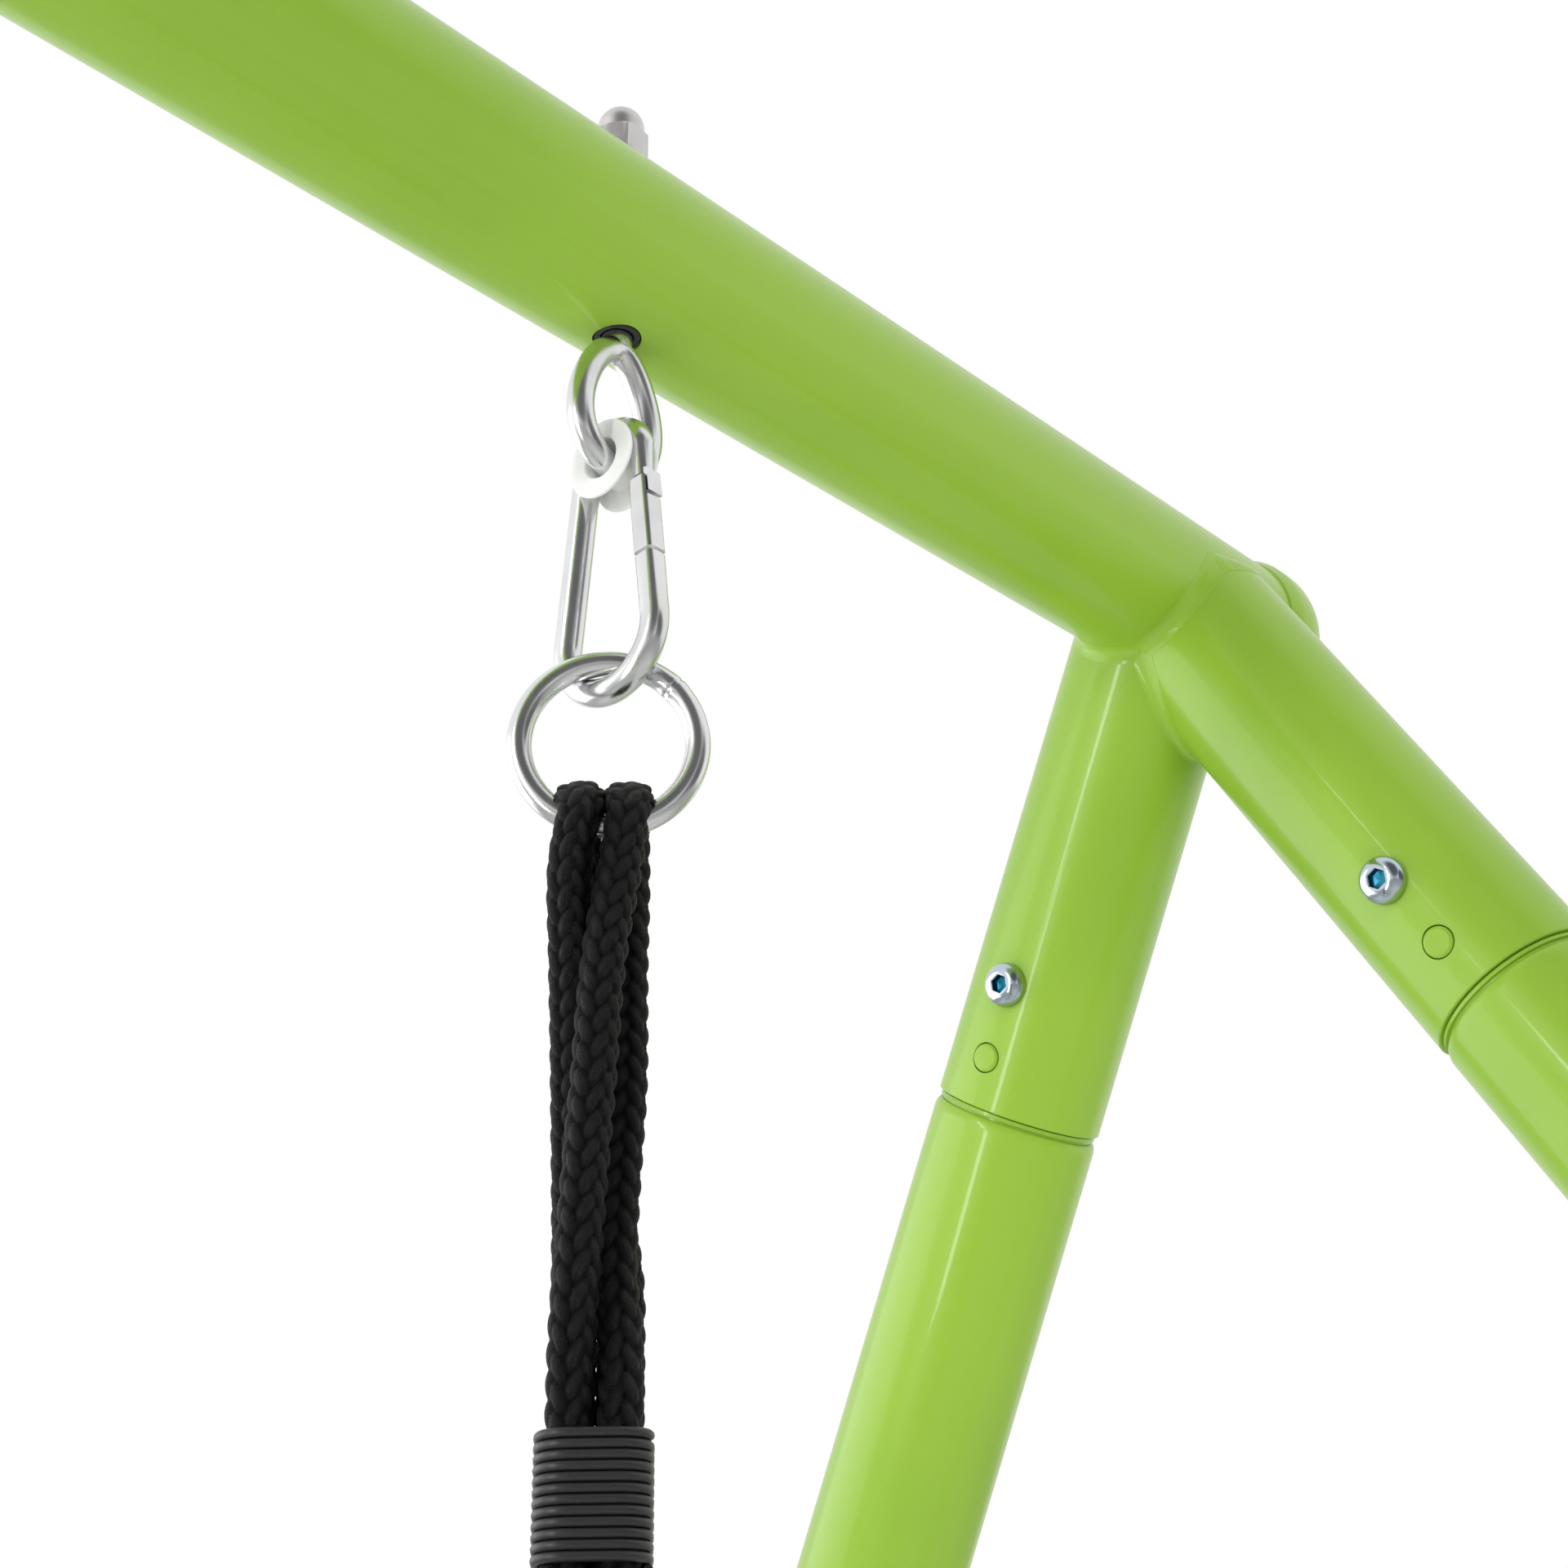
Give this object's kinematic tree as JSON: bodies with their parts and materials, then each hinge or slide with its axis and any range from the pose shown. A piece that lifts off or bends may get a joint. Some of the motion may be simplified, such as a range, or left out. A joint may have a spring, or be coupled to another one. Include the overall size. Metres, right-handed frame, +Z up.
{
  "type": "nest swing set",
  "caption": "Steel A-frame swing with a round net seat that hangs on ropes, rings and snap hooks from the top beam.",
  "frame": {"origin": "on the ground under the middle of the top beam", "axes": "+X along the top beam, -Y towards the front legs, +Z up"},
  "size_m": [2.2684, 2.2702, 1.9476],
  "materials": {
    "frame_paint": "gloss powder coat",
    "zinc": "bright zinc plate",
    "chrome": "polished",
    "spring_steel": "plain",
    "black_plastic": "matt",
    "foot_rubber": "matt",
    "white_nylon": "satin",
    "black_rope": "braided",
    "green_cover": "woven, padded",
    "black_net": "twisted cord"
  },
  "bodies": {
    "frame": {"beam": "frame_paint", "end_cap_left": "frame_paint", "crossbar_left": "frame_paint", "eyebolt_left": "chrome", "hole_liner_left": "black_plastic", "cap_nut_left": "zinc", "end_cap_right": "frame_paint", "crossbar_right": "frame_paint", "eyebolt_right": "chrome", "hole_liner_right": "black_plastic", "cap_nut_right": "zinc", "leg_upper_left_front": "frame_paint", "leg_lower_left_front": "frame_paint", "foot_left_front": "foot_rubber", "button_spring_left_front": "spring_steel", "socket_screw_left_front": "zinc", "crossbar_screw_left_front": "zinc", "leg_upper_left_rear": "frame_paint", "leg_lower_left_rear": "frame_paint", "foot_left_rear": "foot_rubber", "button_spring_left_rear": "spring_steel", "socket_screw_left_rear": "zinc", "crossbar_screw_left_rear": "zinc", "leg_upper_right_front": "frame_paint", "leg_lower_right_front": "frame_paint", "foot_right_front": "foot_rubber", "button_spring_right_front": "spring_steel", "socket_screw_right_front": "zinc", "crossbar_screw_right_front": "zinc", "leg_upper_right_rear": "frame_paint", "leg_lower_right_rear": "frame_paint", "foot_right_rear": "foot_rubber", "button_spring_right_rear": "spring_steel", "socket_screw_right_rear": "zinc", "crossbar_screw_right_rear": "zinc"},
    "swing": {"bush_left": "white_nylon", "snap_hook_left": "chrome", "ring_left": "chrome", "rope_binding_left": "black_rope", "bush_right": "white_nylon", "snap_hook_right": "chrome", "ring_right": "chrome", "rope_binding_right": "black_rope", "rope_left_front": "black_rope", "rope_clamp_left_front": "black_plastic", "rope_left_rear": "black_rope", "rope_clamp_left_rear": "black_plastic", "rope_right_front": "black_rope", "rope_clamp_right_front": "black_plastic", "rope_right_rear": "black_rope", "rope_clamp_right_rear": "black_plastic", "seat_ring": "zinc", "seat_cover": "green_cover", "net": "black_net"},
    "gate_left": {"hook_gate_left": "chrome"},
    "gate_right": {"hook_gate_right": "chrome"},
    "button_left_front": {"snap_button_left_front": "frame_paint"},
    "button_left_rear": {"snap_button_left_rear": "frame_paint"},
    "button_right_front": {"snap_button_right_front": "frame_paint"},
    "button_right_rear": {"snap_button_right_rear": "frame_paint"}
  },
  "joints": [
    {"name": "swing_hinge", "type": "hinge", "parent": "frame", "child": "swing", "pos_m": [0, 0, 1.8375], "axis": [1, 0, 0], "range_deg": [-45, 45]},
    {"name": "gate_left_hinge", "type": "hinge", "parent": "swing", "child": "gate_left", "pos_m": [-0.5953, -0.01231, 1.8105], "axis": [-1, 0, 0], "range_deg": [0, 25], "stiffness_Nm_per_rad": 0.05},
    {"name": "gate_right_hinge", "type": "hinge", "parent": "swing", "child": "gate_right", "pos_m": [0.5953, -0.01231, 1.8105], "axis": [-1, 0, 0], "range_deg": [0, 25], "stiffness_Nm_per_rad": 0.05},
    {"name": "button_left_front_slide", "type": "slide", "parent": "frame", "child": "button_left_front", "axis": [-0.9898, -0.0166, 0.1418], "range_m": [0, 0.005], "stiffness_N_per_m": 200, "deforming": ["button_spring_left_front"]},
    {"name": "button_left_rear_slide", "type": "slide", "parent": "frame", "child": "button_left_rear", "axis": [-0.9898, 0.0166, 0.1418], "range_m": [0, 0.005], "stiffness_N_per_m": 200, "deforming": ["button_spring_left_rear"]},
    {"name": "button_right_front_slide", "type": "slide", "parent": "frame", "child": "button_right_front", "axis": [0.9898, -0.0166, 0.1418], "range_m": [0, 0.005], "stiffness_N_per_m": 200, "deforming": ["button_spring_right_front"]},
    {"name": "button_right_rear_slide", "type": "slide", "parent": "frame", "child": "button_right_rear", "axis": [0.9898, 0.0166, 0.1418], "range_m": [0, 0.005], "stiffness_N_per_m": 200, "deforming": ["button_spring_right_rear"]}
  ]
}
